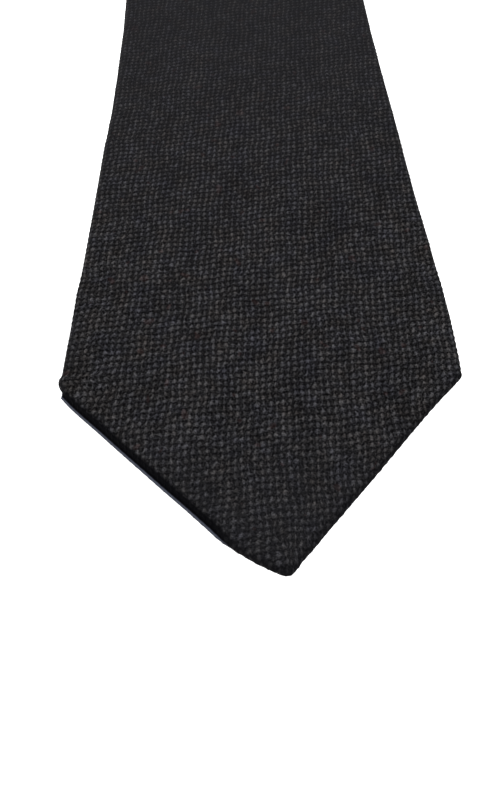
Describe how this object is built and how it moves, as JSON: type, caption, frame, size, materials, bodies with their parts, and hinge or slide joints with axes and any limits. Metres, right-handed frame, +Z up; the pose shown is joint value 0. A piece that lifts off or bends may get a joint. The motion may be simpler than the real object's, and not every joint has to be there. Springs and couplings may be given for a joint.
{
  "type": "necktie",
  "caption": "Classic necktie with a pointed blade and a narrower pointed tail, coarse dark bias-cut cloth over a wool interlining, folded at the neck and laid flat.",
  "frame": {"origin": "centre of the overall box in plan, on the surface the tie lies on", "axes": "+Z up out of the blade's face, +Y along the tie from the blade's point towards the neck fold, +X across the blade"},
  "size_m": [0.082, 0.8716, 0.0132],
  "materials": {
    "shell_cloth": "dark charcoal, near-black coarse plain weave cut on the bias, matt, small light knuckles in rows",
    "wool_interlining": "undyed brushed wool felt-like cloth",
    "satin_lining": "blue-black satin with a soft sheen",
    "thread": "black twisted sewing thread",
    "label_satin": "plain woven label satin, left blank",
    "tag_satin": "white satin ribbon, left blank"
  },
  "bodies": {
    "tail": {"bar_tack_tail": "thread", "interlining_tail": "wool_interlining", "neck_shell_lower": "shell_cloth", "slip_stitch_tail": "thread", "tail_lining": "satin_lining", "tail_shell": "shell_cloth"},
    "neck_fold": {"interlining_fold": "wool_interlining", "neck_fold_shell": "shell_cloth", "slip_stitch_fold": "thread"},
    "blade_upper": {"blade_shell_upper": "shell_cloth", "interlining_upper": "wool_interlining", "neck_shell_upper": "shell_cloth", "slip_stitch_upper": "thread"},
    "blade_turn": {"blade_turn_shell": "shell_cloth", "interlining_turn": "wool_interlining", "slip_stitch_turn": "thread"},
    "blade_lower": {"bar_tack_blade": "thread", "blade_lining": "satin_lining", "blade_shell_lower": "shell_cloth", "interlining_blade_lower": "wool_interlining", "keeper_loop_stitch_left": "thread", "keeper_loop_stitch_right": "thread", "label": "label_satin", "label_stitch_left": "thread", "label_stitch_right": "thread", "slip_stitch_blade_lower": "thread"},
    "keeper": {"keeper_loop": "shell_cloth"},
    "tag": {"content_tag": "tag_satin", "content_tag_stitch": "thread"}
  },
  "joints": [
    {"name": "neck_opening", "type": "hinge", "parent": "tail", "child": "neck_fold", "pos_m": [0, 0.43399, 0.00193], "axis": [1, 0, 0], "range_deg": [-90.2, 0]},
    {"name": "neck_opening_blade_side", "type": "hinge", "parent": "neck_fold", "child": "blade_upper", "pos_m": [0, 0.43399, 0.01127], "axis": [1, 0, 0], "range_deg": [-90.2, 0]},
    {"name": "blade_turn_up", "type": "hinge", "parent": "blade_upper", "child": "blade_turn", "pos_m": [0, -0.20381, 0.0086], "axis": [-1, 0, 0], "range_deg": [0, 92]},
    {"name": "blade_turn_over", "type": "hinge", "parent": "blade_turn", "child": "blade_lower", "pos_m": [0, -0.22142, 0.0052], "axis": [-1, 0, 0], "range_deg": [0, 92]},
    {"name": "keeper_slack", "type": "slide", "parent": "blade_lower", "child": "keeper", "axis": [0, 0, -1], "range_m": [0, 0.0045]},
    {"name": "tag_lift", "type": "hinge", "parent": "blade_lower", "child": "tag", "pos_m": [0.0285, -0.23141, 0.00093], "axis": [1, 0, 0], "range_deg": [0, 140]}
  ],
  "couplings": [
    {"joint": "neck_opening_blade_side", "follows": "neck_opening", "ratio": 1},
    {"joint": "blade_turn_over", "follows": "blade_turn_up", "ratio": 1}
  ]
}
